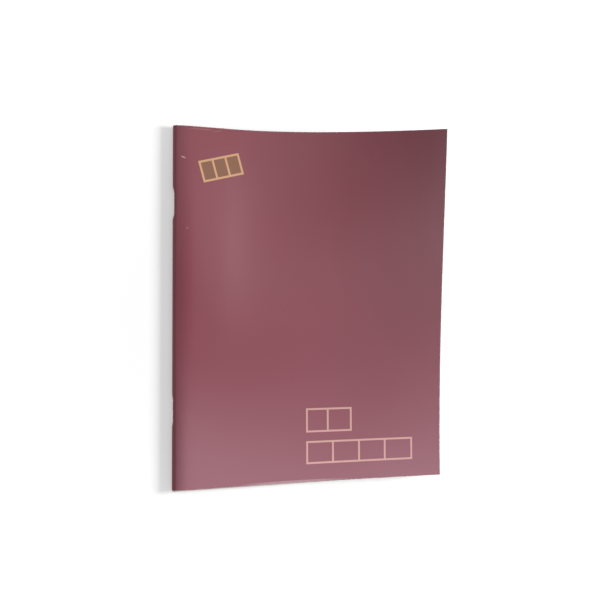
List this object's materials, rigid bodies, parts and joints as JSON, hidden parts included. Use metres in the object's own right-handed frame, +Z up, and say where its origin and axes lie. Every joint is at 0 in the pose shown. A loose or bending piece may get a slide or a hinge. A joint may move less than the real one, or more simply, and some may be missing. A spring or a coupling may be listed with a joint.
{
  "type": "sales ledger book",
  "caption": "Saddle-stitched ledger book: folded paper sheets stapled through the spine of a glossy card cover that curls up at its fore edge.",
  "frame": {"origin": "middle of the bounding box's bottom, under the closed book lying on its back cover", "axes": "+Z up through the closed book, +Y to the head of the pages, spine at low X"},
  "size_m": [0.21, 0.27, 0.0464],
  "materials": {
    "cover": "glossy laminate",
    "paper": "uncoated",
    "staple_wire": "bright wire"
  },
  "bodies": {
    "back": {"back_cover": "cover", "cover_spine": "cover", "sheet_01_fold": "paper", "sheet_02_fold": "paper", "sheet_03_fold": "paper", "sheet_04_fold": "paper", "sheet_05_fold": "paper", "sheet_06_fold": "paper", "sheet_07_fold": "paper", "sheet_08_fold": "paper", "sheet_09_fold": "paper", "sheet_10_fold": "paper", "staple_top": "staple_wire", "staple_bottom": "staple_wire"},
    "leaf_01": {"leaf_01": "paper"},
    "leaf_02": {"leaf_02": "paper"},
    "leaf_03": {"leaf_03": "paper"},
    "leaf_04": {"leaf_04": "paper"},
    "leaf_05": {"leaf_05": "paper"},
    "leaf_06": {"leaf_06": "paper"},
    "leaf_07": {"leaf_07": "paper"},
    "leaf_08": {"leaf_08": "paper"},
    "leaf_09": {"leaf_09": "paper"},
    "leaf_10": {"leaf_10": "paper"},
    "leaf_11": {"leaf_11": "paper"},
    "leaf_12": {"leaf_12": "paper"},
    "leaf_13": {"leaf_13": "paper"},
    "leaf_14": {"leaf_14": "paper"},
    "leaf_15": {"leaf_15": "paper"},
    "leaf_16": {"leaf_16": "paper"},
    "leaf_17": {"leaf_17": "paper"},
    "leaf_18": {"leaf_18": "paper"},
    "leaf_19": {"leaf_19": "paper"},
    "leaf_20": {"leaf_20": "paper"},
    "front_cover": {"front_cover": "cover"}
  },
  "joints": [
    {"name": "front_cover_open", "type": "hinge", "parent": "back", "child": "front_cover", "pos_m": [-0.10194, 0, 0.00306], "axis": [0, -1, 0], "range_deg": [0, 166]},
    {"name": "leaf_01_turn", "type": "hinge", "parent": "back", "child": "leaf_01", "pos_m": [-0.10194, 0, 0.00306], "axis": [0, -1, 0], "range_deg": [0, 163.56]},
    {"name": "leaf_02_turn", "type": "hinge", "parent": "back", "child": "leaf_02", "pos_m": [-0.10194, 0, 0.00306], "axis": [0, -1, 0], "range_deg": [0, 161.82]},
    {"name": "leaf_03_turn", "type": "hinge", "parent": "back", "child": "leaf_03", "pos_m": [-0.10194, 0, 0.00306], "axis": [0, -1, 0], "range_deg": [0, 160.07]},
    {"name": "leaf_04_turn", "type": "hinge", "parent": "back", "child": "leaf_04", "pos_m": [-0.10194, 0, 0.00306], "axis": [0, -1, 0], "range_deg": [0, 158.33]},
    {"name": "leaf_05_turn", "type": "hinge", "parent": "back", "child": "leaf_05", "pos_m": [-0.10194, 0, 0.00306], "axis": [0, -1, 0], "range_deg": [0, 156.59]},
    {"name": "leaf_06_turn", "type": "hinge", "parent": "back", "child": "leaf_06", "pos_m": [-0.10194, 0, 0.00306], "axis": [0, -1, 0], "range_deg": [0, 154.84]},
    {"name": "leaf_07_turn", "type": "hinge", "parent": "back", "child": "leaf_07", "pos_m": [-0.10194, 0, 0.00306], "axis": [0, -1, 0], "range_deg": [0, 153.1]},
    {"name": "leaf_08_turn", "type": "hinge", "parent": "back", "child": "leaf_08", "pos_m": [-0.10194, 0, 0.00306], "axis": [0, -1, 0], "range_deg": [0, 151.36]},
    {"name": "leaf_09_turn", "type": "hinge", "parent": "back", "child": "leaf_09", "pos_m": [-0.10194, 0, 0.00306], "axis": [0, -1, 0], "range_deg": [0, 149.62]},
    {"name": "leaf_10_turn", "type": "hinge", "parent": "back", "child": "leaf_10", "pos_m": [-0.10194, 0, 0.00306], "axis": [0, -1, 0], "range_deg": [0, 147.87]},
    {"name": "leaf_11_turn", "type": "hinge", "parent": "back", "child": "leaf_11", "pos_m": [-0.10194, 0, 0.00306], "axis": [0, -1, 0], "range_deg": [0, 14.16]},
    {"name": "leaf_12_turn", "type": "hinge", "parent": "back", "child": "leaf_12", "pos_m": [-0.10194, 0, 0.00306], "axis": [0, -1, 0], "range_deg": [0, 12.83]},
    {"name": "leaf_13_turn", "type": "hinge", "parent": "back", "child": "leaf_13", "pos_m": [-0.10194, 0, 0.00306], "axis": [0, -1, 0], "range_deg": [0, 11.5]},
    {"name": "leaf_14_turn", "type": "hinge", "parent": "back", "child": "leaf_14", "pos_m": [-0.10194, 0, 0.00306], "axis": [0, -1, 0], "range_deg": [0, 10.18]},
    {"name": "leaf_15_turn", "type": "hinge", "parent": "back", "child": "leaf_15", "pos_m": [-0.10194, 0, 0.00306], "axis": [0, -1, 0], "range_deg": [0, 8.85]},
    {"name": "leaf_16_turn", "type": "hinge", "parent": "back", "child": "leaf_16", "pos_m": [-0.10194, 0, 0.00306], "axis": [0, -1, 0], "range_deg": [0, 7.52]},
    {"name": "leaf_17_turn", "type": "hinge", "parent": "back", "child": "leaf_17", "pos_m": [-0.10194, 0, 0.00306], "axis": [0, -1, 0], "range_deg": [0, 6.19]},
    {"name": "leaf_18_turn", "type": "hinge", "parent": "back", "child": "leaf_18", "pos_m": [-0.10194, 0, 0.00306], "axis": [0, -1, 0], "range_deg": [0, 4.86]},
    {"name": "leaf_19_turn", "type": "hinge", "parent": "back", "child": "leaf_19", "pos_m": [-0.10194, 0, 0.00306], "axis": [0, -1, 0], "range_deg": [0, 3.54]},
    {"name": "leaf_20_turn", "type": "hinge", "parent": "back", "child": "leaf_20", "pos_m": [-0.10194, 0, 0.00306], "axis": [0, -1, 0], "range_deg": [0, 2.21]}
  ],
  "couplings": [
    {"joint": "leaf_01_turn", "follows": "front_cover_open", "ratio": 0.985},
    {"joint": "leaf_02_turn", "follows": "front_cover_open", "ratio": 0.9745},
    {"joint": "leaf_03_turn", "follows": "front_cover_open", "ratio": 0.964},
    {"joint": "leaf_04_turn", "follows": "front_cover_open", "ratio": 0.9535},
    {"joint": "leaf_05_turn", "follows": "front_cover_open", "ratio": 0.943},
    {"joint": "leaf_06_turn", "follows": "front_cover_open", "ratio": 0.9325},
    {"joint": "leaf_07_turn", "follows": "front_cover_open", "ratio": 0.922},
    {"joint": "leaf_08_turn", "follows": "front_cover_open", "ratio": 0.9115},
    {"joint": "leaf_09_turn", "follows": "front_cover_open", "ratio": 0.901},
    {"joint": "leaf_10_turn", "follows": "front_cover_open", "ratio": 0.8905},
    {"joint": "leaf_11_turn", "follows": "front_cover_open", "ratio": 0.085},
    {"joint": "leaf_12_turn", "follows": "front_cover_open", "ratio": 0.077},
    {"joint": "leaf_13_turn", "follows": "front_cover_open", "ratio": 0.069},
    {"joint": "leaf_14_turn", "follows": "front_cover_open", "ratio": 0.061},
    {"joint": "leaf_15_turn", "follows": "front_cover_open", "ratio": 0.053},
    {"joint": "leaf_16_turn", "follows": "front_cover_open", "ratio": 0.045},
    {"joint": "leaf_17_turn", "follows": "front_cover_open", "ratio": 0.037},
    {"joint": "leaf_18_turn", "follows": "front_cover_open", "ratio": 0.029},
    {"joint": "leaf_19_turn", "follows": "front_cover_open", "ratio": 0.021},
    {"joint": "leaf_20_turn", "follows": "front_cover_open", "ratio": 0.013}
  ]
}
